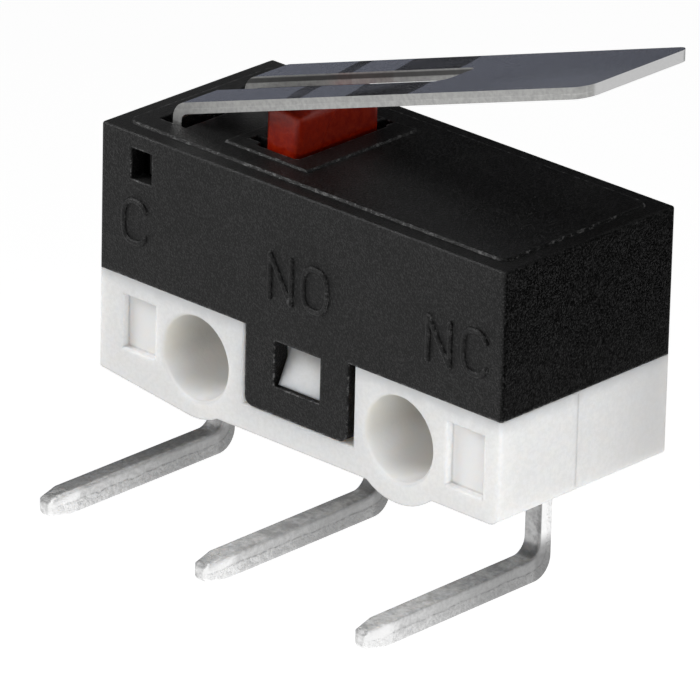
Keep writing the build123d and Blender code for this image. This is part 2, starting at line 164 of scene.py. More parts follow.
print("helpers:", *(helper.__name__ for helper in (dot, split, noise)))

# %% [markdown]
# Colours are laid over each other as a painter lays stains: the mask says where, and a strength
# says how much of the new colour covers the old one.

# %% Colours
def blend_colour(tree, mask, first, second):
    """First colour where the mask is 0, second where it is 1."""
    node = add_node(tree, "ShaderNodeMix", None, data_type="RGBA")
    for number, value in ((0, mask), (6, first), (7, second)):
        if isinstance(value, bpy.types.NodeSocket):
            tree.links.new(value, node.inputs[number])
        else:
            node.inputs[number].default_value = value
    return node.outputs[2]


def stain(tree, colour, mask, strength, over):
    """The colour with another one over it, at that strength where the mask is 1."""
    return blend_colour(tree, times(tree, mask, strength), colour, over)


grey = lambda v: (v, v, v, 1.0)
print("a middle grey:", grey(0.18))

# %% [markdown]
# A node group is a net with named inputs and outputs, made once and placed in each material that
# needs the effect. Three are made below: the grain of a moulding, the wear of an edge and the
# sheared edge of a strip.

# %% Materials and groups
FLOAT, VECTOR = "NodeSocketFloat", "NodeSocketVector"


def new_material(name, **principled):
    """A material with its Principled shader, and its tree and coordinates ready to use."""
    material = bpy.data.materials.new(name)
    material.use_nodes = True
    tree = material.node_tree
    shader = tree.nodes["Principled BSDF"]
    for socket, value in principled.items():
        shader.inputs[socket.replace("_", " ")].default_value = value
    place = tree.nodes.new("ShaderNodeTexCoord")
    return material, tree, shader, place


def new_group(name, inputs, outputs):
    """An empty node group. Each input has a name, a socket type and a default, and each output
    is a named number that changes over the surface."""
    tree = bpy.data.node_groups.new(name, "ShaderNodeTree")
    for label, kind, default in inputs:
        socket = tree.interface.new_socket(label, in_out="INPUT", socket_type=kind)
        if default is not None:
            socket.default_value = default
    for label in outputs:
        tree.interface.new_socket(label, in_out="OUTPUT", socket_type=FLOAT)
    return tree, tree.nodes.new("NodeGroupInput"), tree.nodes.new("NodeGroupOutput")


def place_group(tree, group, inputs):
    """A group placed in a tree, its inputs set or wired."""
    node = add_node(tree, "ShaderNodeGroup", None, node_tree=group)
    for name, value in inputs.items():
        if isinstance(value, bpy.types.NodeSocket):
            tree.links.new(value, node.inputs[name])
        else:
            node.inputs[name].default_value = value
    return node


def dress(material, *names):
    """Gives those solids the material."""
    for name in names:
        mesh = solids[name].data
        mesh.materials.clear()
        mesh.materials.append(material)
    print(f"{material.name}: {len(material.node_tree.nodes)} nodes, on {', '.join(names)}")


# %% [markdown]
# ## Moulded grain, a group for all three plastics
#
# A tool for moulding is eroded by sparks, and its fine pits come out on every plastic face as a
# matt grain a few hundredths of a millimetre wide. It could be an image, but noise needs no
# unwrapping and stays sharp at any distance. Two noises are used: a fine one for the pits, and a
# wide one for the faint clouds of shine that a moulding has where it cooled unevenly. The group
# gives a mask of the pits, which is their height too, and a mask of the clouds.

# %% Build the grain group
grain, come, go = new_group(
    "moulded_grain",
    [("Vector", VECTOR, None), ("Pits per mm", FLOAT, 16.0), ("Clouds per mm", FLOAT, 0.5)],
    ["Pits", "Clouds"],
)
pits_per_metre = calc(grain, "MULTIPLY", come.outputs["Pits per mm"], 1 / mm)
clouds_per_metre = calc(grain, "MULTIPLY", come.outputs["Clouds per mm"], 1 / mm)
pits = noise(grain, come.outputs["Vector"], pits_per_metre, 2.0, 0.6)
clouds = noise(grain, come.outputs["Vector"], clouds_per_metre, 1.0)
grain.links.new(remap(grain, pits, 0.3, 0.7), go.inputs["Pits"])
grain.links.new(remap(grain, clouds, 0.35, 0.65), go.inputs["Clouds"])
print("grain group:", len(grain.nodes), "nodes")

# %% [markdown]
# ## Edges, a group for all three plastics
#
# The Bevel node gives the normal that the face would have if its edges were round. Where it still
# points as the face does, the surface is flat, and where the two part, an edge is near. The dot
# product of the two says how far they have parted. Each material says from where to where on that
# scale its edge begins and ends, and paints highlights or shade on its edges with this mask.

# %% Build the edge group
edge_nearness, come, go = new_group(
    "edge_nearness",
    [("Rounded Normal", VECTOR, None), ("Face Normal", VECTOR, None), ("Flat", FLOAT, 0.99),
     ("Round", FLOAT, 0.9)],
    ["Edge"],
)
alike = dot(edge_nearness, come.outputs["Rounded Normal"], come.outputs["Face Normal"])
edge_nearness.links.new(remap(edge_nearness, alike, come.outputs["Flat"], come.outputs["Round"]),
                    go.inputs["Edge"])
print("edge group:", len(edge_nearness.nodes), "nodes")


def edge_mask(tree, rounded, flat, bent):
    """The mask of the edges, from the rounded normal and the two ends of its scale."""
    face = tree.nodes.new("ShaderNodeNewGeometry").outputs["True Normal"]
    return place_group(tree, edge_nearness, {
        "Rounded Normal": rounded, "Face Normal": face, "Flat": flat, "Round": bent,
    }).outputs["Edge"]


# %% [markdown]
# Grain and rounded edges are the same on all mouldings and only their sizes differ, so one
# function makes such a plastic. What sets one of them apart is painted over its colour later.

# %% Use the grain in a plastic
def grained_plastic(name, dark, light, pit_power, grain_depth, pits_per_mm, shine, edge_softness,
                    **fixed):
    """A moulded plastic: its colour goes from dark to light with the pits, raised to a power that
    keeps the light to the peaks, its roughness goes through shine's two ends with the clouds, and
    its edges shade as if rounded. Returns the material and what is needed to go on with it."""
    material, tree, shader, place = new_material(name, **fixed)
    skin = place_group(tree, grain, {
        "Vector": place.outputs["Object"], "Pits per mm": pits_per_mm,
    })
    peaks = calc(tree, "POWER", skin.outputs["Pits"], pit_power)
    colour = blend_colour(tree, peaks, dark, light)
    tree.links.new(remap(tree, skin.outputs["Clouds"], 0.0, 1.0, *shine),
                   shader.inputs["Roughness"])
    rounded = add_node(tree, "ShaderNodeBevel", {"Radius": edge_softness}, samples=8).outputs[0]
    bump = add_node(tree, "ShaderNodeBump", {
        "Height": skin.outputs["Pits"], "Distance": grain_depth, "Strength": 1.0,
        "Normal": rounded,
    })
    tree.links.new(bump.outputs[0], shader.inputs["Normal"])
    return material, tree, shader, place, colour, rounded


print("plastics share", grain.name, "and", edge_nearness.name)

# %% [markdown]
# ## The black plastic of the cover
#
# The cover is nearly black, and only the peaks of its grain are a little lighter. That speckle is
# the power in its colour. Its edges carry a painted highlight in tiny points: the mask of the edges
# times a noise. The roof is painted a little lighter towards the hinge's end, a painted sheen.

# %% Black plastic with painted highlights and sheen
black, tree, shader, place, colour, rounded = grained_plastic(
    "black_moulding", grey(0.001), grey(0.028), pit_power=4.0, grain_depth=0.006 * mm,
    pits_per_mm=24.0, shine=(0.38, 0.46), edge_softness=0.09 * mm, Specular_IOR_Level=0.18,
)
# Painted highlight: tiny light points along the edges, where the rims would catch the light.
specks = remap(tree, noise(tree, place.outputs["Object"], 7 / mm, 3.0, 0.7), 0.48, 0.68)
painted_highlight = times(tree, edge_mask(tree, rounded, 0.998, 0.92), specks)
colour = blend_colour(tree, painted_highlight, colour, grey(0.17))

# Painted sheen: the roof is painted lighter towards the hinge's end.
sheen_none_x, sheen_full_x = -1.0 * mm, -6.0 * mm
along_body = split(tree, place.outputs["Object"])[0]
upward = split(tree, place.outputs["Normal"])[2]
painted_top_sheen = times(tree, remap(tree, upward, 0.8, 0.95),
              remap(tree, along_body, sheen_none_x, sheen_full_x))
colour = stain(tree, colour, painted_top_sheen, 0.5, grey(0.030))
tree.links.new(colour, shader.inputs["Base Color"])
dress(black, "cover")

# %% [markdown]
# ## The white plastic of the base
#
# The base is white and lets light through, so that its shades and the rims of its holes are soft:
# that is what Subsurface is for, with a reach of some tenths of a millimetre. Its colour starts
# as one white with a faint grain.

# %% White plastic
white, tree, shader, place, colour, rounded = grained_plastic(
    "white_moulding", (0.80, 0.80, 0.795, 1), (0.85, 0.85, 0.845, 1), pit_power=1.0,
    grain_depth=0.0015 * mm, pits_per_mm=9.0, shine=(0.38, 0.5), edge_softness=0.10 * mm,
    Subsurface_Weight=0.85, Subsurface_Scale=0.65 * mm, Subsurface_Radius=(1.0, 0.9, 0.8),
)
x, y, z = split(tree, place.outputs["Object"])
from_middle = calc(tree, "ABSOLUTE", x)
print("white plastic, before its marks:", len(tree.nodes), "nodes")

# %% [markdown]
# The upper walls of the two holes are painted darker and warmer, a painted shade. Their lower
# walls and the floors of the two pockets are painted the palest places, a painted light for what
# reaches them through the plastic. A point is in a hole when its distance from the hole's axis, by
# Pythagoras, is less than the hole's radius, and on a pocket's floor when it faces the front from
# behind the front face.

# %% Holes and pockets, with painted shade and light
hole_x = 3.25 * mm
hole_outside, hole_inside = 1.10 * mm, 1.05 * mm
front_face = -2.9 * mm
pockets_from = 4.4 * mm

from_hole = calc(tree, "SUBTRACT", from_middle, hole_x)
hole_reach = calc(tree, "SQRT", calc(
    tree, "ADD", calc(tree, "POWER", from_hole, 2.0), calc(tree, "POWER", z, 2.0)))
in_hole = remap(tree, hole_reach, hole_outside, hole_inside)
# Painted shade: the upper walls of the holes are darker and warmer.
painted_bore_shade = times(tree, in_hole, remap(tree, z, -1.0 * mm, 0.3 * mm))
colour = blend_colour(tree, painted_bore_shade, colour, (0.78, 0.765, 0.72, 1))

frontward = split(tree, place.outputs["Normal"])[1]
# Painted light: the pocket floors and the lower walls of the holes are painted palest.
painted_light_pocket_floor = times(
    tree, calc(tree, "LESS_THAN", frontward, -0.98),
    calc(tree, "GREATER_THAN", y, front_face + 0.15 * mm),
    calc(tree, "GREATER_THAN", from_middle, pockets_from))
painted_light_hole_floor = times(tree, in_hole, remap(tree, z, -0.1 * mm, -0.7 * mm))
colour = blend_colour(tree, calc(tree, "MAXIMUM", painted_light_hole_floor, painted_light_pocket_floor), colour, grey(0.95))
print("holes and pockets:", len(tree.nodes), "nodes")

# %% [markdown]
# A painted shade lies along the joint under the cover, grey, with an uneven lower edge. The rims
# that face the key light are painted greyer, a painted shade that keeps them from flashing white,
# and so are all its edges a little. The far end is painted duller towards the back, a painted
# shade.

# %% Painted shade on the joint, the rims and the far end
joint_z = 1.4 * mm
joint_shade_sway = 0.5 * mm
joint_shade_none, joint_shade_full = 0.12 * mm, -0.2 * mm
key_way = (-0.595, -0.516, 0.615)
end_from, end_to = 6.2 * mm, 6.36 * mm
back_face = 2.9 * mm

# Painted shade along the joint under the cover, with an uneven lower edge.
joint_shade_noise = noise(tree, place.outputs["Object"], 1.6 / mm, 3.0, 0.6)
below_joint = calc(tree, "SUBTRACT", joint_z, z)
joint_shade_edge = calc(tree, "SUBTRACT", below_joint, calc(tree, "MULTIPLY", joint_shade_noise, joint_shade_sway))
painted_joint_shade = remap(tree, joint_shade_edge, joint_shade_none, joint_shade_full)
colour = stain(tree, colour, painted_joint_shade, 0.8, grey(0.66))

# Painted shade on the rims that face the key light, and a little on all edges.
towards_key = remap(tree, dot(tree, rounded, key_way), 0.60, 0.85)
painted_rim_shade = calc(tree, "MAXIMUM", times(tree, towards_key, 0.75),
            times(tree, edge_mask(tree, rounded, 0.995, 0.88), 0.6))
colour = blend_colour(tree, painted_rim_shade, colour, grey(0.62))
# Painted shade: the far end is darker towards the back.
painted_end_shade = times(tree, remap(tree, x, end_from, end_to), remap(tree, y, 0.0, back_face))
colour = stain(tree, colour, painted_end_shade, 0.6, grey(0.62))
tree.links.new(colour, shader.inputs["Base Color"])
dress(white, "base")

# %% [markdown]
# ## The red plastic of the plunger
#
# The plunger is brick red with more gloss, because its faces slide in the cover. Its edges are
# painted lighter and more orange, a painted highlight.

# %% Red plastic
red, tree, shader, place, colour, rounded = grained_plastic(
    "red_moulding", (0.24, 0.007, 0.0005, 1), (0.33, 0.017, 0.002, 1), pit_power=1.0,
    grain_depth=0.002 * mm, pits_per_mm=9.0, shine=(0.22, 0.30), edge_softness=0.22 * mm,
    Specular_IOR_Level=0.38,
)
# Painted highlight: the edges are lighter and more orange.
colour = stain(tree, colour, edge_mask(tree, rounded, 0.985, 0.85), 0.6, (0.50, 0.07, 0.015, 1))
tree.links.new(colour, shader.inputs["Base Color"])
dress(red, "plunger")

# %% [markdown]
# ## Rolled and sheared metal, a group for the strips
#
# The lever and the terminals are stamped out of strip. Their wide faces are as the mill rolled
# them: dull, with a fine noise. Their edges are where the punch went through: a smooth band that
# the punch burnished, and below it a rough band where the metal broke, with an uneven line
# between. A normal test tells the two kinds of face apart, and a signed distance from the middle
# of the strip's thickness tells where in the edge a point is. Both are worked out in each
# material, because each strip lies another way, and this group turns them into looks.

# %% Build the sheared edge group
sheared, come, go = new_group(
    "sheared_edge",
    [("Vector", VECTOR, None), ("Edge", FLOAT, 0.0), ("Depth", FLOAT, 0.0), ("Half", FLOAT, 0.1),
     ("Line", FLOAT, 0.0)],
    ["Burnish", "Break", "Seam", "Height", "Mottle"],
)
wander = noise(sheared, come.outputs["Vector"], 2.2 / mm, 2.0)
sway = calc(sheared, "MULTIPLY", calc(sheared, "SUBTRACT", wander, 0.5), 0.5)
across = calc(sheared, "DIVIDE", come.outputs["Depth"], come.outputs["Half"])
from_line = calc(sheared, "ADD", calc(sheared, "SUBTRACT", across, come.outputs["Line"]), sway)
burnished = times(sheared, remap(sheared, from_line, -0.06, 0.06), come.outputs["Edge"])
broken = times(sheared, remap(sheared, from_line, 0.06, -0.06), come.outputs["Edge"])
off_line = calc(sheared, "ABSOLUTE", from_line)
seam = times(sheared, remap(sheared, off_line, 0.16, 0.02), come.outputs["Edge"])
mottle = remap(sheared, noise(sheared, come.outputs["Vector"], 9.0 / mm, 3.0, 0.6), 0.3, 0.7)
height = times(sheared, calc(sheared, "ADD", broken, 0.4), mottle)
for label, value in (("Burnish", burnished), ("Break", broken), ("Seam", seam),
                     ("Height", height), ("Mottle", mottle)):
    sheared.links.new(value, go.inputs[label])
print("sheared edge group:", len(sheared.nodes), "nodes")

# %% [markdown]
# ## Terminals
#
# Each terminal's tail leaves the base downwards and turns to the front round a bend. The distance
# of a point from the middle of the strip is one formula for leg, bend and tail together: the
# length of the part of the vector from the bend's centre that points back and down, less the
# radius of the middle line. On the leg only the backward part counts, on the tail only the
# downward part, and in the bend both do.

# %% Place in a terminal
tail_middle = -3.44 * mm
tail_half = 0.30 * mm
bend_radius = 0.465 * mm
bend_y = -bend_radius
bend_z = tail_middle + bend_radius

plated, tree, shader, place = new_material("plated_strip", Metallic=1.0)
_, y, z = split(tree, place.outputs["Object"])
sideward = split(tree, place.outputs["Normal"])[0]
edge = remap(tree, calc(tree, "ABSOLUTE", sideward), 0.55, 0.8)
backward = calc(tree, "MAXIMUM", calc(tree, "SUBTRACT", y, bend_y), 0.0)
downward = calc(tree, "MAXIMUM", calc(tree, "SUBTRACT", bend_z, z), 0.0)
squares = calc(tree, "ADD", calc(tree, "POWER", backward, 2.0), calc(tree, "POWER", downward, 2.0))
depth = calc(tree, "SUBTRACT", bend_radius, calc(tree, "SQRT", squares))
stamp = place_group(tree, sheared, {
    "Vector": place.outputs["Object"], "Edge": edge, "Depth": depth, "Half": tail_half,
    "Line": 0.05,
})
print(f"bend round y {bend_y / mm:.3f}, z {bend_z / mm:.3f} mm")

# %% [markdown]
# The plating is painted darker near the body and lighter towards the tips, a painted shade. So
# each tone is a pair, blended by the way along the tail. Wide patches mix the dull and the clean,
# and the group's masks lay the burnished band, the broken band, the mottle and the dark seam over
# them.

# %% Tones from the bend to the tip
bend_end = -1.4 * mm
tail_tip = -5.4 * mm

patches = noise(tree, place.outputs["Object"], 2.4 / mm, 4.0, 0.65)
# Painted shade: darker near the body, lighter towards the tips.
painted_shade_to_tip = remap(tree, y, bend_end, tail_tip)
dull = blend_colour(tree, painted_shade_to_tip, grey(0.27), grey(0.56))
clean = blend_colour(tree, painted_shade_to_tip, grey(0.49), grey(0.88))
smooth_band = blend_colour(tree, painted_shade_to_tip, grey(0.36), grey(0.73))
rough_band = blend_colour(tree, painted_shade_to_tip, grey(0.40), grey(0.84))
tone = blend_colour(tree, remap(tree, patches, 0.35, 0.62), dull, clean)
tone = blend_colour(tree, stamp.outputs["Burnish"], tone, smooth_band)
tone = blend_colour(tree, stamp.outputs["Break"], tone, rough_band)
tone = stain(tree, tone, stamp.outputs["Mottle"], 0.35, grey(0.25))
tone = stain(tree, tone, stamp.outputs["Seam"], 0.18, grey(0.16))
print("tones of the tails:", len(tree.nodes), "nodes")

# %% [markdown]
# Four places differ, and all of them are painted light and shade. The tapered tips carry a painted
# highlight with a ragged start on the faces turned to the right, the inside of the bend is painted
# dark, a painted shade, the rounded rim between top and front is painted dark and duller, because
# it would mirror the key light as a white line, and the sheared side of the leg, above the bend, is
# painted near white, a painted reflection.

# %% Painted light and shade on tips, bends, rims and legs
bright_from, bright_to = -4.9 * mm, -5.3 * mm
bright_sway = 1.2 * mm
bend_fade = 0.15 * mm
leg_fade = 0.5 * mm
rim_way = (0, -0.707, 0.707)

rounded = add_node(tree, "ShaderNodeBevel", {"Radius": 0.15 * mm}, samples=8).outputs[0]
# Painted highlight on the tips, on the faces turned to the right.
ragged = calc(tree, "ADD", y, calc(
    tree, "MULTIPLY", calc(tree, "SUBTRACT", patches, 0.5), bright_sway))
bright = times(tree, remap(tree, ragged, bright_from, bright_to),
               remap(tree, split(tree, rounded)[0], 0.10, 0.45))
tone = blend_colour(tree, bright, tone, grey(0.92))
# Painted shade inside the bend.
in_bend = remap(tree, calc(tree, "MINIMUM", backward, downward), 0.0, bend_fade)
tone = stain(tree, tone, in_bend, 0.4, grey(0.15))
# Painted shade on the rim between top and front, where the key light would show.
rim = remap(tree, dot(tree, rounded, rim_way), 0.80, 0.95)
tone = stain(tree, tone, rim, 0.75, grey(0.12))
# Painted reflection: the sheared side of the leg is near white.
painted_leg_reflection = times(tree, edge, remap(tree, z, bend_z, bend_z + leg_fade))
tone = blend_colour(tree, painted_leg_reflection, tone, grey(0.98))
tree.links.new(tone, shader.inputs["Base Color"])
print("places of the tails:", len(tree.nodes), "nodes")

# %% [markdown]
# The patches are smoother where they are cleaner. The broken band and the rim are rougher, and
# the group's height gives the break its small bumps.

# %% Shine and bumps of the terminals
rough = calc(tree, "ADD", times(tree, stamp.outputs["Break"], 0.08),
             remap(tree, patches, 0.3, 0.7, 0.50, 0.38))
rough = calc(tree, "ADD", rough, times(tree, rim, 0.15))
tree.links.new(rough, shader.inputs["Roughness"])
bump = add_node(tree, "ShaderNodeBump", {
    "Height": stamp.outputs["Height"], "Distance": 0.02 * mm, "Strength": 1.0, "Normal": rounded,
})
tree.links.new(bump.outputs[0], shader.inputs["Normal"])
dress(plated, "common_terminal", "normally_open_terminal", "normally_closed_terminal")

# %% [markdown]
# ## Lever
#
# The lever is a slotted strip of stainless steel, straight from its bend to its tip. Its wide
# faces are rolled, with a fine frosting, and mirror the room softly. Its long edges and its tip
# are sheared. The strip climbs at one angle, so two unit vectors, one along it and one out of its
# upper face, give every place on it by dot products.

# %% Place in the lever
slope = math.radians(17.6)
lever_thickness = 0.28 * mm
tip = Vector((7.66, 0.0, 9.66)) * mm
along = Vector((math.cos(slope), 0.0, math.sin(slope)))
out = Vector((-math.sin(slope), 0.0, math.cos(slope)))
middle = tip.dot(out) - lever_thickness / 2
tip_from = 5 * mm
slot_half = 1.0 * mm
ears_from = 1.85 * mm

steel, tree, shader, place = new_material("rolled_steel", Metallic=1.0)
x, y, _ = split(tree, place.outputs["Object"])
from_middle = calc(tree, "ABSOLUTE", y)
at_tip = calc(tree, "GREATER_THAN", x, tip_from)
side = calc(tree, "ABSOLUTE", split(tree, place.outputs["Normal"])[1])
ahead = dot(tree, place.outputs["Normal"], along)
end_face = times(tree, calc(tree, "MAXIMUM", ahead, 0.0), at_tip)
edge = remap(tree, calc(tree, "MAXIMUM", side, end_face), 0.5, 0.75)
depth = calc(tree, "SUBTRACT", dot(tree, place.outputs["Object"], out), middle)
stamp = place_group(tree, sheared, {
    "Vector": place.outputs["Object"], "Edge": edge, "Depth": depth,
    "Half": lever_thickness / 2, "Line": -0.1,
})
print(f"middle of the strip {middle / mm:.3f} mm out from the origin")

# %% [markdown]
# The free end is painted bright at its front corner, a painted highlight. The sheared edges are
# greyer with a mottle, and the end face is painted paler than the long ones, a painted reflection.
# Inside the slot the edges see only the dark cover and each other, so a dark band is painted in the
# upper half of their height, a painted shade, and the ears down in their windows are painted
# black, a painted shade.

# %% Tones of the lever
painted_highlight_x = 3.5 * mm, 7.0 * mm
painted_highlight_y = 0.8 * mm, -1.6 * mm

# Painted highlight: the free end's front corner is brighter.
painted_highlight = times(tree, remap(tree, x, *painted_highlight_x), remap(tree, y, *painted_highlight_y))
tone = blend_colour(tree, painted_highlight, (0.62, 0.62, 0.63, 1), (0.95, 0.95, 0.94, 1))
tone = blend_colour(tree, stamp.outputs["Burnish"], tone, (0.39, 0.39, 0.38, 1))
tone = blend_colour(tree, stamp.outputs["Break"], tone, (0.42, 0.42, 0.41, 1))
tone = stain(tree, tone, times(tree, edge, stamp.outputs["Mottle"]), 0.5, grey(0.25))
# Painted reflection: the end face is paler.
tone = blend_colour(tree, remap(tree, end_face, 0.86, 0.94), tone, grey(0.55))

# Painted shade: a dark band in the upper half of the edges inside the slot.
height_share = calc(tree, "DIVIDE", depth, lever_thickness / 2)
in_slot = times(tree, calc(tree, "SUBTRACT", 1.0, at_tip),
                calc(tree, "LESS_THAN", from_middle, slot_half))
shade = times(tree, remap(tree, height_share, 0.85, 0.6), remap(tree, height_share, -0.25, 0.0),
              edge, in_slot)
tone = stain(tree, tone, shade, 0.85, grey(0.06))
# Painted shade: the ears in their windows are black.
in_ears = calc(tree, "GREATER_THAN", from_middle, ears_from)
tone = blend_colour(tree, in_ears, tone, grey(0.02))
tree.links.new(tone, shader.inputs["Base Color"])
print("tones of the lever:", len(tree.nodes), "nodes")

# %% [markdown]
# Strip off a roll is never quite flat, and a bright face shows it: a tilt of a few degrees mirrors
# another part of the room, as a band across the lever. Each band is a step in height that climbs
# over its width: a distance along the lever, held between the band's start and its end. Where it
# climbs the normal leans, and elsewhere it doesn't. A slant and a slow wander keep the bands from
# being ruled lines. The frosting is a second, much finer bump on top.

# %% Shine and waves of the lever
wave_bands = ((-2.0, 0.45), (-0.15, 1.9))
wave_slant = 0.24
wave_sway = 0.6 * mm
wave_tilt = -0.14
frost_rise = 0.0015 * mm

frost = noise(tree, place.outputs["Object"], 14 / mm, 2.0)
rough = calc(tree, "ADD", times(tree, edge, 0.25), remap(tree, frost, 0.3, 0.7, 0.17, 0.27))
tree.links.new(rough, shader.inputs["Roughness"])
wander = calc(tree, "SUBTRACT", noise(tree, place.outputs["Object"], 0.5 / mm, 0.0), 0.5)
crosswise = calc(tree, "ADD", x, calc(
    tree, "ADD", calc(tree, "MULTIPLY", y, wave_slant), calc(tree, "MULTIPLY", wander, wave_sway)))
wave = 0.0
for start, width in wave_bands:
    past_start = calc(tree, "MAXIMUM", calc(tree, "SUBTRACT", crosswise, start * mm), 0.0)
    wave = calc(tree, "ADD", wave, calc(tree, "MINIMUM", past_start, width * mm))
waved = add_node(tree, "ShaderNodeBump", {
    "Height": wave, "Distance": wave_tilt, "Strength": 1.0,
})
bump = add_node(tree, "ShaderNodeBump", {
    "Height": calc(tree, "ADD", frost, stamp.outputs["Height"]), "Distance": frost_rise,
    "Strength": 1.0, "Normal": waved.outputs[0],
})
tree.links.new(bump.outputs[0], shader.inputs["Normal"])
dress(steel, "lever")

# %% [markdown]
# ## Inside: spring blade and contacts
#
# They are hidden in the closed switch, and seen when the cover is taken off. The blade is a thin
# strip of copper alloy, the contacts are silver alloy heads with a soft shine.

# %% Materials of the blade and the contacts
def plain_metal(name, dark, light, shine):
    """A metal with a fine noise in its colour and roughness."""
    material, tree, shader, place = new_material(name, Metallic=1.0)
    skin = place_group(tree, grain, {"Vector": place.outputs["Object"], "Pits per mm": 8.0})
    tree.links.new(blend_colour(tree, skin.outputs["Pits"], dark, light),
                   shader.inputs["Base Color"])
    tree.links.new(remap(tree, skin.outputs["Pits"], 0.0, 1.0, *shine),
                   shader.inputs["Roughness"])
    return material


copper = plain_metal("spring_copper", (0.66, 0.38, 0.20, 1), (0.78, 0.50, 0.30, 1), (0.22, 0.34))
silver = plain_metal("silver_alloy", (0.78, 0.78, 0.76, 1), (0.90, 0.89, 0.87, 1), (0.2, 0.35))
dress(copper, "snap_blade")
dress(silver, "moving_contact", "normally_open_contact", "normally_closed_contact")

# %% [markdown]
# ## Raised marks on the cover
#
# Above each terminal the cover's front has its mark: C for common, NO for normally open, NC for
# normally closed. They are cut into the mould, so they stand up from the face as thin rounded
# ribs. Text objects would give flat letters with a font's outlines. A rib is a profile carried
# along a line: at a share s of the line and an angle a round the section, the point is the line's
# point plus half the width times the cosine of a across, and the rise times the sine of a
# outwards, both shrunk near the ends by the root of one minus the square of the distance past the
# end, so that the ends are round.

# %% Ribs as surfaces
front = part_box("cover")[0].y
rib_width = 0.15 * mm
rib_rise = 0.06 * mm
rib_steps = 28
rib_sides = 12


def rib(line):
    """Points and faces of a closed rib on the front face, along a line of (x, z) points in metres.

    Across the line it is an ellipse of half the rib's width by its rise. Both shrink to nothing
    at the two ends as a circle does, over half a width beyond the line's last points."""
    line = np.asarray(line, float)
    runs = np.r_[0.0, np.cumsum(np.linalg.norm(np.diff(line, axis=0), axis=1))]
    reach = rib_width / 2
    turn = np.linspace(0, np.pi, rib_steps + 1)
    place = -reach * np.cos(turn)
    place = np.r_[place[:rib_steps // 2], np.linspace(0, runs[-1], rib_steps),
                  runs[-1] + place[rib_steps // 2 + 1:]]
    inside = np.clip(place, 0, runs[-1])
    past = place - inside
    centre = np.stack([np.interp(inside, runs, line[:, k]) for k in (0, 1)], axis=1)
    step = 0.02 * mm
    ahead = np.stack([np.interp(inside + step, runs, line[:, k])
                      - np.interp(inside - step, runs, line[:, k]) for k in (0, 1)], axis=1)
    ahead /= np.linalg.norm(ahead, axis=1, keepdims=True)
    centre += ahead * past[:, None]
    size = np.sqrt(np.clip(1 - (past / reach) ** 2, 0, 1))[:, None]
    angle = np.linspace(0, 2 * np.pi, rib_sides, endpoint=False)[None, :]
    sideways = size * reach * np.cos(angle)
    x = centre[:, :1] - ahead[:, 1:] * sideways
    z = centre[:, 1:] + ahead[:, :1] * sideways
    y = front - size * rib_rise * np.sin(angle)
    points = np.stack([x, y, z], axis=2).reshape(-1, 3)
    row = np.arange(len(place) - 1)[:, None] * rib_sides
    side = np.arange(rib_sides)[None, :]
    after = (side + 1) % rib_sides
    faces = np.stack([row + side, row + after, row + rib_sides + after, row + rib_sides + side],
                     axis=2).reshape(-1, 4)
    return points, faces


print(f"ribs {rib_width / mm} mm wide, {rib_rise / mm} mm proud of y {front / mm:.2f} mm")

# %% [markdown]
# The letters are lines in a box one wide and one high. N is three straight strokes. O is a
# rounded square, a superellipse: x is the cosine and z the sine of the angle, each raised to a
# power below one with its sign kept. C is the same curve, open towards the right.

# %% Draw the letters
bow_ease = 0.72
bow_points = 60


def bow(start, end):
    """A superellipse arc in the unit box, from one angle in degrees to another. x is the cosine
    and z the sine, each raised to the power bow_ease with its sign kept."""
    angle = np.radians(np.linspace(start, end, bow_points))
    x = np.sign(np.cos(angle)) * np.abs(np.cos(angle)) ** bow_ease
    z = np.sign(np.sin(angle)) * np.abs(np.sin(angle)) ** bow_ease
    return np.stack([0.5 + x / 2, 0.5 + z / 2], axis=1)


letters = {
    "C": [bow(32, 328)],
    "O": [bow(0, 360)],
    "N": [np.array([(0, 0), (0, 1)]), np.array([(0, 1), (1, 0)]), np.array([(1, 0), (1, 1)])],
}
print("strokes:", {letter: len(strokes) for letter, strokes in letters.items()})

# %% [markdown]
# Each mark has its place on the front face: its letter, its left and bottom, its width and its
# height in millimetres. All ribs go into one mesh, which rides the case as the cover does. The
# weld closes the ribs' ends, where a whole ring of points falls on one.

# %% Set the marks on the cover
marks = (
    ("C", -5.64, 2.34, 0.75, 1.05),
    ("N", -0.89, 2.30, 0.68, 1.09),
    ("O", 0.17, 2.35, 0.75, 1.05),
    ("N", 4.09, 2.29, 0.67, 1.05),
    ("C", 5.17, 2.35, 0.74, 1.06),
)
points, faces = [], []
for letter, left, bottom, width, tall in marks:
    for stroke in letters[letter]:
        line = (stroke * (width, tall) + (left, bottom)) * mm
        rib_points, rib_faces = rib(line)
        faces.append(rib_faces + sum(len(p) for p in points))
        points.append(rib_points)
mesh = bpy.data.meshes.new("terminal_marks")
mesh.from_pydata(np.concatenate(points).tolist(), [], np.concatenate(faces).tolist())
mesh.polygons.foreach_set("use_smooth", np.ones(len(mesh.polygons), bool))
mesh.materials.append(black)
terminal_marks = bpy.data.objects.new("terminal_marks", mesh)
bpy.context.scene.collection.objects.link(terminal_marks)
weld = terminal_marks.modifiers.new("closed_ends", "WELD")
weld.merge_threshold = 0.0001 * mm
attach(terminal_marks, "case")
print("marks:", len(mesh.polygons), "faces")

# %% [markdown]
# ## Floor and surroundings
#
# The picture's ground is white. The world and the floor are white for what the camera and the
# metal see, and a quiet grey for the light they throw, so that the object isn't washed out. Light
# Path tells the two apart. The floor lies well below, because the switch hangs on its two
# screws, and it still glows a little for the light it throws, because the undersides and the
# holes of a thing on a white table are lit from below.

# %% World
room_light = 0.16


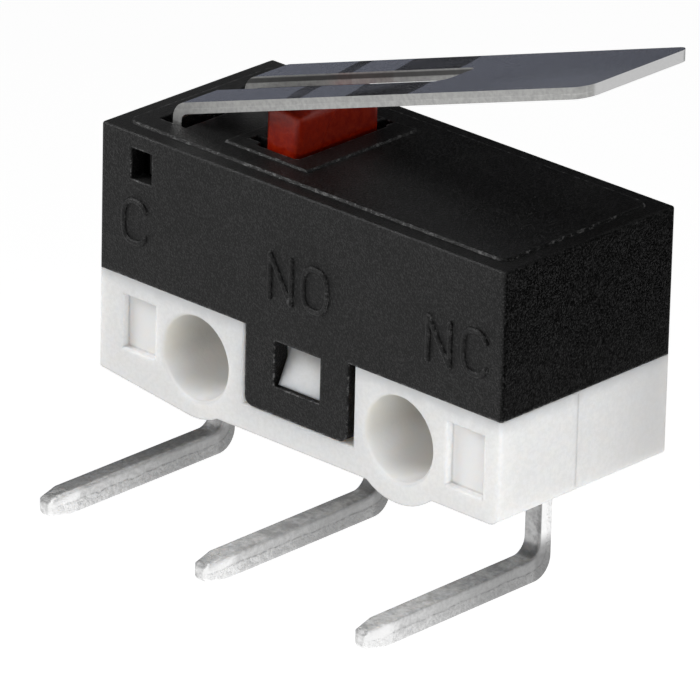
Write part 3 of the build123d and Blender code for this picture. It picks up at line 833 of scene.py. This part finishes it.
def seen_rays(tree):
    """1 for the rays of the camera, of reflections and of glass, 0 for those that carry light."""
    path = tree.nodes.new("ShaderNodeLightPath")
    return calc(tree, "MAXIMUM", path.outputs["Is Camera Ray"],
                calc(tree, "MAXIMUM", path.outputs["Is Glossy Ray"],
                     path.outputs["Is Transmission Ray"]))


world = bpy.data.worlds.new("studio")
world.use_nodes = True
bpy.context.scene.world = world
tree = world.node_tree
tree.nodes.clear()
strength = calc(tree, "ADD", times(tree, seen_rays(tree), 1.0 - room_light), room_light)
background = add_node(tree, "ShaderNodeBackground", {"Color": grey(1.0), "Strength": strength})
world_out = tree.nodes.new("ShaderNodeOutputWorld")
tree.links.new(background.outputs[0], world_out.inputs[0])
print("room light:", room_light)

# %% Floor
floor_z = -40 * mm
floor_half = 0.6
floor_glow = 0.83
floor_bounce = 0.55

corners = [(-floor_half, -floor_half, floor_z), (floor_half, -floor_half, floor_z),
           (floor_half, floor_half, floor_z), (-floor_half, floor_half, floor_z)]
mesh = bpy.data.meshes.new("floor")
mesh.from_pydata(corners, [], [(0, 1, 2, 3)])
floor = bpy.data.objects.new("floor", mesh)
bpy.context.scene.collection.objects.link(floor)
pale, tree, shader, place = new_material("pale_floor", Roughness=0.9, Specular_IOR_Level=0.0)
shader.inputs["Base Color"].default_value = grey(0.8)
shader.inputs["Emission Color"].default_value = grey(1.0)
glow = times(tree, calc(tree, "MAXIMUM", seen_rays(tree), floor_bounce), floor_glow)
tree.links.new(glow, shader.inputs["Emission Strength"])
mesh.materials.append(pale)
print(f"floor {2 * floor_half:.1f} m wide, {-floor_z / mm:.0f} mm below the holes")

# %% [markdown]
# ## Lights
#
# The key light is a large soft one from the front left. A smaller one lifts the right end, and a
# faint one comes through the holes from behind. Those two are for the plastics alone: a lamp that
# reflections don't see leaves metal as it is, so that no white square shows in the lever.

# %% Lights
def add_light(name, towards, distance, size, power, in_reflections=True):
    """A square soft light, placed from the object in a direction and turned to face it."""
    lamp = bpy.data.lights.new(name, "AREA")
    lamp.shape = "SQUARE"
    lamp.size = size * mm
    lamp.energy = power
    lamp_object = bpy.data.objects.new(name, lamp)
    spot = Vector(towards).normalized() * distance * mm
    lamp_object.matrix_world = (Matrix.Translation(spot)
                                @ spot.to_track_quat("Z", "Y").to_matrix().to_4x4())
    lamp_object.visible_glossy = in_reflections
    bpy.context.scene.collection.objects.link(lamp_object)
    print(f"{name}: {power * 1000:.1f} mW, {distance} mm away")


add_light("key", (-0.60, -0.52, 0.62), 60, 30, 0.0245)
add_light("right_fill", (0.92, -0.39, 0.10), 24, 14, 0.00245, in_reflections=False)
add_light("back_light", (-0.25, 0.86, 0.44), 60, 25, 0.013, in_reflections=False)

# %% [markdown]
# ## Cards for the metal
#
# Metal looks like what it mirrors. In a white room the lever would be white, so two dark cards
# stand where its faces look, as a photographer's black flags do. Only reflections see them. The
# back card is what the lever's top and the roof mirror: dark grey with a blue tinge low down, and
# nearly black above, with a soft change that gives the lever its gradient. The end card is small
# and close, and darkens the cover's right face alone.

# %% Cards that only reflections see
def add_card(name, centre, facing_to, width, tall, low, high, turn_from, turn_to):
    """A flat card seen by reflections alone. Its glow runs from low at its own height turn_from,
    in mm from its middle, to high at turn_to."""
    half_width, half_tall = width / 2 * mm, tall / 2 * mm
    card_mesh = bpy.data.meshes.new(name)
    card_mesh.from_pydata([(-half_width, -half_tall, 0), (half_width, -half_tall, 0),
                           (half_width, half_tall, 0), (-half_width, half_tall, 0)],
                          [], [(0, 1, 2, 3)])
    card = bpy.data.objects.new(name, card_mesh)
    spot = Vector(centre) * mm
    away = spot - Vector(facing_to) * mm
    card.matrix_world = (Matrix.Translation(spot)
                         @ away.to_track_quat("Z", "Y").to_matrix().to_4x4())
    bpy.context.scene.collection.objects.link(card)
    glow = bpy.data.materials.new(name)
    glow.use_nodes = True
    tree = glow.node_tree
    tree.nodes.clear()
    place = tree.nodes.new("ShaderNodeTexCoord")
    level = split(tree, place.outputs["Object"])[1]
    shade = blend_colour(tree, remap(tree, level, turn_from * mm, turn_to * mm), low, high)
    shine = add_node(tree, "ShaderNodeEmission", {"Color": shade, "Strength": 1.0})
    card_out = tree.nodes.new("ShaderNodeOutputMaterial")
    tree.links.new(shine.outputs[0], card_out.inputs[0])
    card_mesh.materials.append(glow)
    card.visible_camera = False
    card.visible_diffuse = False
    card.visible_shadow = False
    card.visible_transmission = False
    print(f"{name}: {width} by {tall} mm")


add_card("back_card", (-74, 68, 55), (0, 0, 55), 260, 200,
         (0.155, 0.165, 0.205, 1), grey(0.012), -50, -44)
add_card("end_card", (7.3, 4.0, 3.3), (6.4, 4.0, 3.3), 16, 9, grey(0.01), grey(0.01), -1, 1)

# %% [markdown]
# ## Colours as written
#
# The Standard view shows each colour as it is written.

# %% Colours as written
bpy.context.scene.view_settings.view_transform = "Standard"
